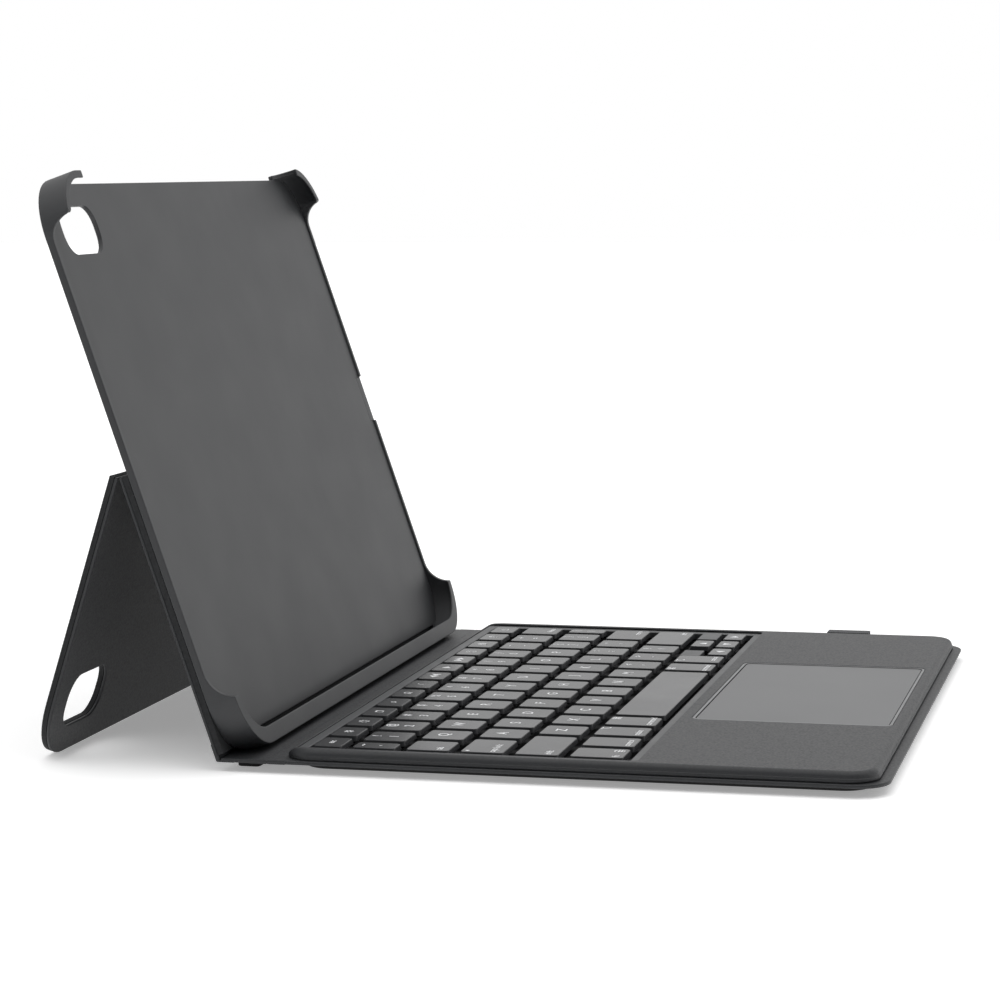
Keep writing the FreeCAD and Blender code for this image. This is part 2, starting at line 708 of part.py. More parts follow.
# blank pads beside the up-arrow key
pad_z1 = cap_top - 0.1
opt_end = field_x0 + 10 * unit + unit_w
infill_left = prism(opt_end + 0.45, infill_end_x, y1 - arrow_d + 0.4, y1, plate_z + plate_t + membrane_t,
                    pad_z1, 0.5)
infill_right = box(field_x0 + 13 * unit, bo1 + 0.5, y1 - arrow_d + 0.4, y1, bezel_z0, pad_z1)
bezel = bezel.fuse(infill_right)
save("key_bezel", group([bezel, infill_left]))

# ================================================================== under the keys
px0 = -room_x + 0.4
px1 = room_x - 0.4
pl_f = bezel_open_front - 0.4
pl_r = min(room_r - 0.3, bezel_open_rear + 0.5)
stack_radii = (0.0, 0.0, stack_r, stack_r)
plate = prism(px0, px1, pl_f, pl_r, plate_z, plate_z + plate_t, radii=stack_radii)
m0 = plate_z + plate_t
membrane = prism(px0 + 0.5, px1 - 0.5, pl_f + 0.5, pl_r - 0.5, m0, m0 + membrane_t, radii=stack_radii)
mat_z = m0 + membrane_t
mat = prism(px0 + 1.0, px1 - 1.0, pl_f + 1.0, pl_r - 1.0, mat_z, mat_z + mat_t, radii=stack_radii)
screws = []
for sy in screw_y:
    for sx in screw_x:
        plate = plate.cut(z_cylinder(screw_shank_r + screw_hole_fit, sx, sy, plate_z - 1, plate_z + 1))
        hole = z_cylinder(screw_head_r + screw_hole_fit, sx, sy, m0 - 1, m0 + 2)
        membrane = membrane.cut(hole)
        mat = mat.cut(hole)
        head = z_cylinder(screw_head_r, sx, sy, m0, m0 + screw_head_h)
        screws.append(head.fuse(z_cylinder(screw_shank_r, sx, sy, floor_z + 0.2, m0)))
infill_room = prism(opt_end + 0.25, infill_end_x + 0.2, y1 - arrow_d + 0.2, y1 + 0.2, mat_z - 0.01,
                    mat_z + 3, 0.6)
mat = mat.cut(infill_room)
domes = []
scissors = []
for x0, x1, ya, yb in all_keys:
    cx = (x0 + x1) / 2
    cy = (ya + yb) / 2
    outer_c = Part.makeCone(dome_r, dome_hole_r + 0.4, dome_h, V(cx, cy, mat_z + mat_t))
    domes.append(outer_c.cut(z_cylinder(dome_hole_r, cx, cy, mat_z + mat_t - 0.1, mat_z + dome_h + 1)))
    w = min(x1 - x0, 12.0) / 2 - scissor_in
    d = (yb - ya) / 2 - scissor_in
    w = max(w, dome_r + 0.2)
    d = max(d, dome_r + 0.2)
    frame_out = box(cx - w, cx + w, cy - d, cy + d, scissor_z, scissor_z + scissor_t)
    inner_w = max(w - scissor_w, dome_r + 0.05)
    inner_d = max(d - scissor_w, dome_r + 0.05)
    if inner_w < w - 0.1 and inner_d < d - 0.1:
        hole = box(cx - inner_w, cx + inner_w, cy - inner_d, cy + inner_d, scissor_z - 1, scissor_z + 1)
    else:
        hole = z_cylinder(dome_r + 0.1, cx, cy, scissor_z - 1, scissor_z + 1)
    ring = frame_out.cut(hole)
    scissors += ring.Solids
mat_shape = mat
for dome in domes:
    mat_shape = mat_shape.fuse(dome)
save("support_plate", plate)
save("membrane", membrane)
save("dome_mat", mat_shape)
save("scissor_frames", group(scissors))
save("plate_screws", group(screws))

# ================================================================== trackpad
glass_z = pad_top - pad_glass_t
save("trackpad_plate", prism(-pad_x, pad_x, pad_front_y, pad_rear_y, glass_z, pad_top, pad_r))
save("trackpad_board", prism(-pad_x + 2, pad_x - 2, pad_front_y + 2, pad_rear_y - 2, board_top_pad, glass_z, 1.0))
ring = prism(-pb, pb, pf, pr, pad_bezel_z0, pad_bezel_top, pad_r + 1.1)
ring = ring.cut(prism(-pad_x - pad_gap, pad_x + pad_gap, pad_front_y - pad_gap, pad_rear_y + pad_gap,
                      pad_bezel_z0 - 1, pad_bezel_top + 1, pad_r + pad_gap))
save("trackpad_bezel", ring)
sw = switch_w / 2
save("trackpad_switch", box(-sw, sw, switch_y - sw, switch_y + sw, switch_z, switch_z + switch_h))

# ================================================================== electronics
save("battery", prism(-battery_x, battery_x, battery_front_y, battery_rear_y, floor_z,
                      floor_z + battery_t, 2.0))
board = box(board_x0, board_x1, board_front_y, board_rear_y, board_z, board_z + board_thick)
bt = board_z + board_thick
board = board.fuse(box(board_x0 + 8, board_x0 + 18, board_front_y + 12, board_front_y + 22, bt, bt + chip_h))
board = board.fuse(box(board_x0 + 26, board_x0 + 32, board_front_y + 20, board_front_y + 26, bt, bt + chip_h))
board = board.fuse(box(board_x1 - 0.1, room_x - 4.6, port_y - 6, port_y + 6, board_z, bt))
save("main_board", board)
shell_x1 = deck_x - 0.2
port_body = prism(port_y - port_w / 2, port_y + port_w / 2, port_z, port_z + port_h, 0, port_len,
                  port_h / 2 - 0.05)
port_open = prism(port_y - port_w / 2 + port_wall, port_y + port_w / 2 - port_wall,
                  port_z + port_wall, port_z + port_h - port_wall, 1.0, port_len + 1, port_h / 2 - 0.45)
tongue = prism(port_y - 3.3, port_y + 3.3, port_z + port_h / 2 - 0.35, port_z + port_h / 2 + 0.35,
               0.5, port_len - 1.0, 0.1)
port_shape = port_body.cut(port_open).fuse(tongue)
turn = FreeCAD.Matrix(0, 0, 1, shell_x1 - port_len, 1, 0, 0, 0, 0, 1, 0, 0, 0, 0, 0, 1)
port_shape = port_shape.transformGeometry(turn)
save("charging_port", port_shape)
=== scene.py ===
import json
import math

import bmesh
import bpy
from mathutils import Matrix, Vector


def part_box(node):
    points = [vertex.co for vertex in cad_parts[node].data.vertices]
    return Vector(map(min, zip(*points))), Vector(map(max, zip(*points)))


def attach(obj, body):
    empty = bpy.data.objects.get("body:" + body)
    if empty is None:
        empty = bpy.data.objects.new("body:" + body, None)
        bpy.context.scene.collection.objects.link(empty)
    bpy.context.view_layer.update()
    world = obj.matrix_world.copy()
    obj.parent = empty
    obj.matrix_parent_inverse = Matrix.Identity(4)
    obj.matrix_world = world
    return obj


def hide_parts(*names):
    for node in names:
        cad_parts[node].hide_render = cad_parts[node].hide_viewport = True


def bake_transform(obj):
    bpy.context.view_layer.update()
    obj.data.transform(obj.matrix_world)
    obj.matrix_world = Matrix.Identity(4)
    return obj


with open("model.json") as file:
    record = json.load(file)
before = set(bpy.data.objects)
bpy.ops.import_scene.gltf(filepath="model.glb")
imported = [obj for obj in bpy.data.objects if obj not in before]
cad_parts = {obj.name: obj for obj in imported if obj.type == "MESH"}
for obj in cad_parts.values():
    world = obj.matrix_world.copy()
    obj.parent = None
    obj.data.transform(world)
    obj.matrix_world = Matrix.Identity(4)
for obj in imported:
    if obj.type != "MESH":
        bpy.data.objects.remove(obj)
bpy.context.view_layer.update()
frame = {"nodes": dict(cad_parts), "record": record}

# ---------------------------------------------------------------- tray
# The hard shell that holds the slate: one ABS moulding, a thin floor with four
# corner grips, low sides between them and a deeper lip along the lower edge.
# Its walls are rounded over where they leave the mould, and it is glued to the back skin.
MM = 0.001
nodes = frame["nodes"]
tray_edge = 0.32 * MM
weld = 1e-6
smooth_below = math.radians(50)


def srgb(code, alpha=1.0):
    """Linear colour of an sRGB hex code."""
    values = [int(code[i:i + 2], 16) / 255 for i in (1, 3, 5)]
    return (*[v / 12.92 if v <= 0.04045 else ((v + 0.055) / 1.055) ** 2.4 for v in values], alpha)


def add(tree, kind, links=None, inputs=None, **settings):
    """One node with its settings, its input values and the sockets linked into it."""
    node = tree.nodes.new(kind)
    for name, value in settings.items():
        setattr(node, name, value)
    for name, value in (inputs or {}).items():
        node.inputs[name].default_value = value
    for name, source in (links or {}).items():
        tree.links.new(source, node.inputs[name])
    return node


def finish(name, roughness, **constants):
    """A material, its tree, its shader and the object coordinates, in metres."""
    material = bpy.data.materials.new(name)
    material.use_nodes = True
    tree = material.node_tree
    shader = tree.nodes["Principled BSDF"]
    shader.inputs["Roughness"].default_value = roughness
    for socket, value in constants.items():
        shader.inputs[socket.replace("_", " ")].default_value = value
    place = add(tree, "ShaderNodeTexCoord").outputs["Object"]
    return material, tree, shader, place


def mottle(tree, shader, place, size, dark, light, rough=None):
    """Colour, and roughness if given, that drift between two values over patches of a real size."""
    low, high = 0.3, 0.7
    patches = add(tree, "ShaderNodeTexNoise", {"Vector": place}, {"Scale": 1 / size, "Detail": 3.0})
    shades = add(tree, "ShaderNodeValToRGB", {"Fac": patches.outputs["Fac"]})
    shades.color_ramp.elements[0].position = low
    shades.color_ramp.elements[0].color = srgb(dark)
    shades.color_ramp.elements[1].position = high
    shades.color_ramp.elements[1].color = srgb(light)
    tree.links.new(shades.outputs["Color"], shader.inputs["Base Color"])
    if rough:
        spread = add(tree, "ShaderNodeMapRange", {"Value": patches.outputs["Fac"]},
                     {"From Min": low, "From Max": high, "To Min": rough[0], "To Max": rough[1]})
        tree.links.new(spread.outputs["Result"], shader.inputs["Roughness"])


def grit(tree, shader, place, size, depth, detail=2.0):
    """Fine bump of a real grain size and depth."""
    grains = add(tree, "ShaderNodeTexNoise", {"Vector": place}, {"Scale": 1 / size, "Detail": detail})
    bump = add(tree, "ShaderNodeBump", {"Height": grains.outputs["Fac"]},
               {"Distance": depth, "Strength": 1.0})
    tree.links.new(bump.outputs["Normal"], shader.inputs["Normal"])


def softened(node, name, edge, material, least=28.0, steps=2):
    """A copy of a CAD node's mesh with its outer edges rounded over, in place of the node."""
    mesh = bmesh.new()
    mesh.from_mesh(nodes[node].data)
    bmesh.ops.remove_doubles(mesh, verts=mesh.verts, dist=weld)
    coplanar = math.radians(0.5)
    bmesh.ops.dissolve_limit(mesh, angle_limit=coplanar, verts=mesh.verts, edges=mesh.edges)
    outer = [e for e in mesh.edges if e.is_manifold and e.calc_face_angle_signed(0) > math.radians(least)]
    bmesh.ops.bevel(mesh, geom=outer, offset=edge, offset_type="OFFSET", segments=steps, profile=0.5,
                    affect="EDGES", clamp_overlap=False)
    for face in mesh.faces:
        face.smooth = True
    piece = piece_from(mesh, name, material)
    piece.data.set_sharp_from_angle(angle=smooth_below)
    piece.modifiers.new("weighted_normals", "WEIGHTED_NORMAL").keep_sharp = True
    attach(piece, body_of[node])
    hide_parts(node)


def piece_from(mesh, name, material):
    """The finished object of a bmesh, at the origin."""
    data = bpy.data.meshes.new(name)
    mesh.to_mesh(data)
    mesh.free()
    data.materials.append(material)
    piece = bpy.data.objects.new(name, data)
    bpy.context.scene.collection.objects.link(piece)
    return piece


body_of = {node: body for body, held in frame["record"]["behaviour"]["bodies"].items() for node in held}

# ABS moulded in a spark-eroded mould: an even, satin charcoal with a very fine grit that
# only softens the reflections.
shell_abs, tree, shader, place = finish("abs_spark_eroded", 0.5)
mottle(tree, shader, place, 22 * MM, "#2e2f31", "#313234", (0.49, 0.54))
grit(tree, shader, place, 0.5 * MM, 0.006 * MM)
softened("tray", "tray_shell", tray_edge, shell_abs)

# ---------------------------------------------------------------- back panels and kickstand
# Two stiff panels of greyboard wrapped in polyurethane leather. The lower one is glued to
# the tray, and the upper one folds out as the kickstand, lined with microfibre on its inner face.
skin_edge = 0.4 * MM
board_edge = 0.12 * MM
lining_edge = 0.1 * MM
grain = 0.65 * MM
grain_warp = 0.9 * MM

# Polyurethane leather, embossed with a fine pebble grain: dull on the pebbles, with painted shade in the
# valleys between them.
# The real pebbles are about 0.4 mm, drawn at 0.65 mm so that they show.
leather, tree, shader, place = finish("pu_leather_pebbled", 0.48, Specular_IOR_Level=0.38)
warp = add(tree, "ShaderNodeTexNoise", {"Vector": place}, {"Scale": 1 / (3 * MM), "Detail": 2.0})
shift = add(tree, "ShaderNodeVectorMath", {0: warp.outputs["Color"]}, {1: (grain_warp,) * 3},
            operation="MULTIPLY")
bent = add(tree, "ShaderNodeVectorMath", {0: place, 1: shift.outputs["Vector"]}, operation="ADD")
pebbles = add(tree, "ShaderNodeTexVoronoi", {"Vector": bent.outputs["Vector"]}, {"Scale": 1 / grain},
              feature="SMOOTH_F1")
patches = add(tree, "ShaderNodeTexNoise", {"Vector": place}, {"Scale": 1 / (30 * MM), "Detail": 2.0})
# Painted shade: the colour darkens from the crown of each pebble into the valleys between them.
valley_shade = add(tree, "ShaderNodeMix", {"Factor": pebbles.outputs["Distance"]}, data_type="RGBA")
valley_shade.inputs[6].default_value = srgb("#2f3032")
valley_shade.inputs[7].default_value = srgb("#28292b")
drift = add(tree, "ShaderNodeMix", {0: patches.outputs["Fac"], 6: valley_shade.outputs[2]}, data_type="RGBA")
drift.inputs[7].default_value = srgb("#2c2d2f")
tree.links.new(drift.outputs[2], shader.inputs["Base Color"])
dull = add(tree, "ShaderNodeMapRange", {"Value": pebbles.outputs["Distance"]},
           {"From Min": 0.0, "From Max": 0.7, "To Min": 0.43, "To Max": 0.56})
tree.links.new(dull.outputs["Result"], shader.inputs["Roughness"])
pores = add(tree, "ShaderNodeTexNoise", {"Vector": place}, {"Scale": 1 / (0.3 * MM), "Detail": 3.0})
relief = add(tree, "ShaderNodeMath", {0: pores.outputs["Fac"], 2: pebbles.outputs["Distance"]}, {1: 0.3},
             operation="MULTIPLY_ADD")
bump = add(tree, "ShaderNodeBump", {"Height": relief.outputs[0]}, {"Distance": 0.028 * MM, "Strength": 0.8},
           invert=True)
tree.links.new(bump.outputs["Normal"], shader.inputs["Normal"])

# Greyboard, dyed through and sealed at its cut edge: dead matt with a faint fibre fleck.
greyboard, tree, shader, place = finish("greyboard_dyed", 0.9)
mottle(tree, shader, place, 1.2 * MM, "#1b1c1d", "#242527")
grit(tree, shader, place, 0.4 * MM, 0.02 * MM)

# Microfibre, brushed: a short nap that drinks light and lifts a little at a glancing angle.
microfibre, tree, shader, place = finish("microfibre_napped", 0.8, Sheen_Weight=0.12, Sheen_Roughness=0.4)
mottle(tree, shader, place, 9 * MM, "#2c2d2f", "#323335")
grit(tree, shader, place, 0.35 * MM, 0.03 * MM, 4.0)

softened("lower_back_skin", "lower_back_cover", skin_edge, leather)
softened("lower_back_board", "lower_back_stiffener", board_edge, greyboard)
softened("stand_skin", "kickstand_cover", skin_edge, leather)
softened("stand_board", "kickstand_stiffener", board_edge, greyboard)
softened("stand_lining", "kickstand_lining", lining_edge, microfibre)

# ---------------------------------------------------------------- kickstand hinges
# Two friction hinges between the panels: pressed leaves let into the boards, knuckles round
# a ground pin. Small steel discs in the tray catch the magnets of the closed kickstand.
hinge_edge = 0.08 * MM

# Spring steel, brushed along the leaf and blacked in oil: dark, with long fine scratches.
steel, tree, shader, place = finish("spring_steel_blacked", 0.42, Metallic=0.85)
stretch = add(tree, "ShaderNodeMapping", {"Vector": place}, {"Scale": (0.05, 1.0, 1.0)})
lines = add(tree, "ShaderNodeTexNoise", {"Vector": stretch.outputs["Vector"]},
            {"Scale": 1 / (0.15 * MM), "Detail": 3.0})
shades = add(tree, "ShaderNodeValToRGB", {"Fac": lines.outputs["Fac"]})
shades.color_ramp.elements[0].color = srgb("#2a2b2d")
shades.color_ramp.elements[1].color = srgb("#434446")
tree.links.new(shades.outputs["Color"], shader.inputs["Base Color"])
bump = add(tree, "ShaderNodeBump", {"Height": lines.outputs["Fac"]}, {"Distance": 0.006 * MM})
tree.links.new(bump.outputs["Normal"], shader.inputs["Normal"])

# Nickel plating on the sintered magnets: bright and slightly warm, with soft orange peel.
nickel, tree, shader, place = finish("nickel_plated", 0.18, Metallic=1.0)
mottle(tree, shader, place, 2 * MM, "#b9b6af", "#c8c5bd", (0.14, 0.24))

for side in ("left", "right"):
    softened("hinge_fixed_leaf_" + side, "fixed_leaf_" + side, hinge_edge, steel)
    softened("hinge_moving_leaf_" + side, "moving_leaf_" + side, hinge_edge, steel)
    softened("hinge_pin_" + side, "pin_" + side, hinge_edge, steel)
softened("stand_keepers", "keeper_discs", hinge_edge, steel)
softened("stand_magnets", "magnet_discs", hinge_edge, nickel)

# ---------------------------------------------------------------- flap and creases
# The skin runs on from the keyboard to the tray as a narrow flap, two plies glued together.
# It bends at three creases, and a rubber strip under it keeps the tray from sliding.
crease_proud = 0.03 * MM
crease_steps = 14
skin_in = 0.05 * MM
strip_low, strip_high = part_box("flap_front")
skin_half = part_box("lower_back_skin")[1].x - skin_in
flap_thick = strip_high.z - strip_low.z
joints = {joint["name"]: joint for joint in frame["record"]["behaviour"]["joints"]}
crease_at = {name: Vector(joints[name]["pos_m"])
             for name in ("keyboard_crease", "middle_crease", "tray_crease")}


def band(name, outer, inner, half, material):
    """A strip of skin of one section, drawn by its outer and inner (y, z) lines, across the case."""
    mesh = bmesh.new()
    loop = outer + inner[::-1]
    slices = 24
    rings = []
    for i in range(slices + 1):
        x = -half + 2 * half * i / slices
        rings.append([mesh.verts.new((x, y, z)) for y, z in loop])
    for a, b in zip(rings, rings[1:]):
        for k in range(len(loop)):
            mesh.faces.new((a[k], a[(k + 1) % len(loop)], b[(k + 1) % len(loop)], b[k]))
    for ring in (rings[0], rings[-1]):
        count = len(outer)
        for k in range(count - 1):
            mesh.faces.new((ring[k], ring[k + 1], ring[2 * count - 2 - k], ring[2 * count - 1 - k]))
    bmesh.ops.recalc_face_normals(mesh, faces=mesh.faces)
    for face in mesh.faces:
        face.smooth = True
    piece = piece_from(mesh, name, material)
    piece.data.set_sharp_from_angle(angle=smooth_below)
    return piece


def flat_crease(name, y0, y1):
    """A flat crease from one y to another, a little proud of the flap above and below."""
    ys = [y0 + (y1 - y0) * k / crease_steps for k in range(crease_steps + 1)]
    low = [(y, strip_low.z - crease_proud) for y in ys]
    high = [(y, strip_high.z + crease_proud) for y in ys]
    return band(name, high, low, skin_half, leather)


softened("flap_front", "flap_strip_skin", skin_edge, leather)
softened("flap_rear", "flap_skin", skin_edge, leather)

first = crease_at["keyboard_crease"].y
second = crease_at["middle_crease"].y
bend = flap_thick
crease_half = 2.2 * bend
front_skin = flat_crease("crease_skin_keyboard", first - crease_half, first + crease_half)
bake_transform(front_skin)
knee_skin = flat_crease("crease_skin_middle", second - crease_half, second + crease_half)
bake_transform(knee_skin)

# The third crease turns up the tray's back: flat, an arc about the crease, then straight.
lean = math.radians(90) + math.radians(joints["tray_crease"]["range_deg"][0])
turn = math.radians(90) - lean
axis = crease_at["tray_crease"]
thick = flap_thick / 2
rise = 5 * MM
straight_steps = 5
lining_radius = 0.1 * MM


def rear_line(radius):
    """The line at one distance outside the crease axis: along the flap, round, and up the back."""
    points = [(axis.y - rise + rise * k / straight_steps, axis.z - radius)
              for k in range(straight_steps + 1)]
    for k in range(1, crease_steps + 1):
        angle = turn * k / crease_steps
        points.append((axis.y + radius * math.sin(angle), axis.z - radius * math.cos(angle)))
    for k in range(1, straight_steps + 1):
        step = rise * k / straight_steps
        points.append((axis.y + radius * math.sin(turn) + step * math.cos(turn),
                       axis.z - radius * math.cos(turn) + step * math.sin(turn)))
    return points


rear_skin = band("crease_skin_tray", rear_line(thick + crease_proud), rear_line(lining_radius),
                 skin_half, leather)
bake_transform(rear_skin)

# Nitrile rubber, moulded: nearly black, grippy and dull, with a light bloom.
rubber, tree, shader, place = finish("rubber_moulded", 0.75)
mottle(tree, shader, place, 3 * MM, "#0d0d0e", "#141415", (0.7, 0.82))
grit(tree, shader, place, 0.3 * MM, 0.01 * MM)
foot_edge = 0.35 * MM
softened("flap_foot", "flap_rubber_strip", foot_edge, rubber)

# ---------------------------------------------------------------- keyboard shell
# A skinned deck over a flat backing sheet, with a welted seam round its side, and a black
# ABS tray underneath that carries the works and stands on two long rubber feet.
deck_edge = 0.3 * MM
under_edge = 0.25 * MM
deck_low, deck_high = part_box("deck_skin")
softened("deck_skin", "deck_cover", deck_edge, leather)
softened("backing_sheet", "backing_cover", skin_edge, leather)

# The welt: the deck's skin is turned under along a line part way down its side. It fades out
# towards the rear corners.
welt_drop = 2.0 * MM
welt_lift = 0.05 * MM
welt_out = 0.34 * MM
welt_in = 0.2 * MM
deck_corner = 9 * MM


def outline(low, high, radius, steps=10):
    """Points and outward directions round a rounded rectangle, anticlockwise, with a few more
    points along the rear ends of its sides."""
    extra = 4
    points = []
    for quarter, (cx, cy) in enumerate(((high.x - radius, high.y - radius), (low.x + radius, high.y - radius),
                                        (low.x + radius, low.y + radius), (high.x - radius, low.y + radius))):
        for k in range(steps + 1):
            angle = math.pi / 2 * (quarter + k / steps)
            out = Vector((math.cos(angle), math.sin(angle)))
            points.append((Vector((cx, cy)) + out * radius, out))
        if quarter == 1:
            points += [(Vector((low.x, cy - radius * k / extra)), Vector((-1, 0)))
                       for k in range(1, extra + 1)]
    right_side = [(Vector((high.x, high.y - radius * (extra + 1 - k) / extra - radius)), Vector((1, 0)))
                  for k in range(extra)]
    return right_side + points


def moulding(name, path, section, material, body, fade):
    """A closed (out, height) section swept round a closed path, shrinking away between two ys."""
    mesh = bmesh.new()
    low = min(z for s, z in section)
    tuck = 0.6 * MM
    rings = []
    for point, out in path:
        full = 1 - min(1, max(0, (point.y - fade[0]) / (fade[1] - fade[0])))
        at = [(point + out * (s * full - tuck * (1 - full)), low + (z - low) * full) for s, z in section]
        rings.append([mesh.verts.new((spot.x, spot.y, z)) for spot, z in at])
    for a, b in zip(rings, rings[1:] + rings[:1]):
        for k in range(len(section)):
            j = (k + 1) % len(section)
            mesh.faces.new((a[k], b[k], b[j], a[j]))
    bmesh.ops.recalc_face_normals(mesh, faces=mesh.faces)
    for face in mesh.faces:
        face.smooth = True
    piece = piece_from(mesh, name, material)
    piece.data.set_sharp_from_angle(angle=math.radians(60))
    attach(piece, body)


welt_top = deck_high.z - welt_drop
welt_low = deck_low.z + welt_lift
welt_mid = (welt_top + welt_low) / 2
welt_half = (welt_top - welt_low) / 2
welt = [(welt_out * math.cos(a), welt_mid + welt_half * math.sin(a))
        for a in [math.pi * (k / 8 - 0.5) for k in range(9)]]
welt += [(-welt_in, welt_top), (-welt_in, welt_low)]
moulding("deck_welt", outline(deck_low, deck_high, deck_corner), welt, leather, "keyboard",
         (deck_high.y - 2 * deck_corner, deck_high.y - 0.6 * deck_corner))

# Black ABS underneath, moulded with a plain matt finish.
black_abs, tree, shader, place = finish("abs_black_matt", 0.6)
mottle(tree, shader, place, 8 * MM, "#0b0b0c", "#101011", (0.55, 0.68))
grit(tree, shader, place, 0.35 * MM, 0.01 * MM)
softened("bottom_tray", "underside_tray", under_edge, black_abs)
for end in ("front", "rear"):
    softened("foot_" + end, "rubber_foot_" + end, foot_edge, rubber)

# Woven elastic, sewn under the deck's edge as a loop for a stylus: crossing ribs of thread.
elastic, tree, shader, place = finish("elastic_woven", 0.85, Sheen_Weight=0.1)
loop_edge = 0.2 * MM
thread = 0.7 * MM
wave_repeat = 0.314         # a wave texture of scale 1 repeats at this many metres
warps = add(tree, "ShaderNodeTexWave", {"Vector": place}, {"Scale": wave_repeat / thread, "Distortion": 0.4},
            bands_direction="Y")
wefts = add(tree, "ShaderNodeTexWave", {"Vector": place}, {"Scale": wave_repeat / thread, "Distortion": 0.4},
            bands_direction="X")
weave = add(tree, "ShaderNodeMath", {0: warps.outputs["Fac"], 1: wefts.outputs["Fac"]}, operation="MULTIPLY")
shades = add(tree, "ShaderNodeValToRGB", {"Fac": weave.outputs[0]})
shades.color_ramp.elements[0].color = srgb("#38393b")
shades.color_ramp.elements[1].color = srgb("#4e4f52")
tree.links.new(shades.outputs["Color"], shader.inputs["Base Color"])
bump = add(tree, "ShaderNodeBump", {"Height": weave.outputs[0]}, {"Distance": 0.08 * MM})
tree.links.new(bump.outputs["Normal"], shader.inputs["Normal"])
softened("stylus_loop", "stylus_elastic", loop_edge, elastic)

# ---------------------------------------------------------------- key bezel
# One smooth ABS frame round all the keys, dropped into the deck and glued; its inner edge
# stands just under the caps, and blanks fill the gaps on both sides of the up-arrow key.
bezel_edge = 0.28 * MM
bezel_abs, tree, shader, place = finish("abs_satin_frame", 0.45)
mottle(tree, shader, place, 12 * MM, "#3c3d3f", "#404143", (0.42, 0.5))
grit(tree, shader, place, 0.4 * MM, 0.006 * MM)
softened("key_bezel", "key_frame", bezel_edge, bezel_abs)

# ---------------------------------------------------------------- key caps
# Seventy-eight scissor-switch caps moulded in ABS, slightly tapered, with a soft top edge.
# Each row of equal caps is one run of the same cap, set out at the row's pitch.
cap_edge = 0.24 * MM
cap_corner = 1.1 * MM
cap_taper = 0.35 * MM
cap_deep = 1.6 * MM
cap_wall = 0.7 * MM
cap_hollow = 1.0 * MM
same_width = 0.01 * MM
key_nodes = [n for n in nodes if n.startswith("key_") and n != "key_bezel" or n.startswith("keys_")]

# ABS caps with a light texture: satin, so that they pick up a soft sheen at a low angle.
cap_abs, tree, shader, place = finish("abs_key_caps", 0.25, Specular_IOR_Level=0.2)
mottle(tree, shader, place, 30 * MM, "#323335", "#343436", (0.23, 0.27))
grit(tree, shader, place, 0.35 * MM, 0.006 * MM)


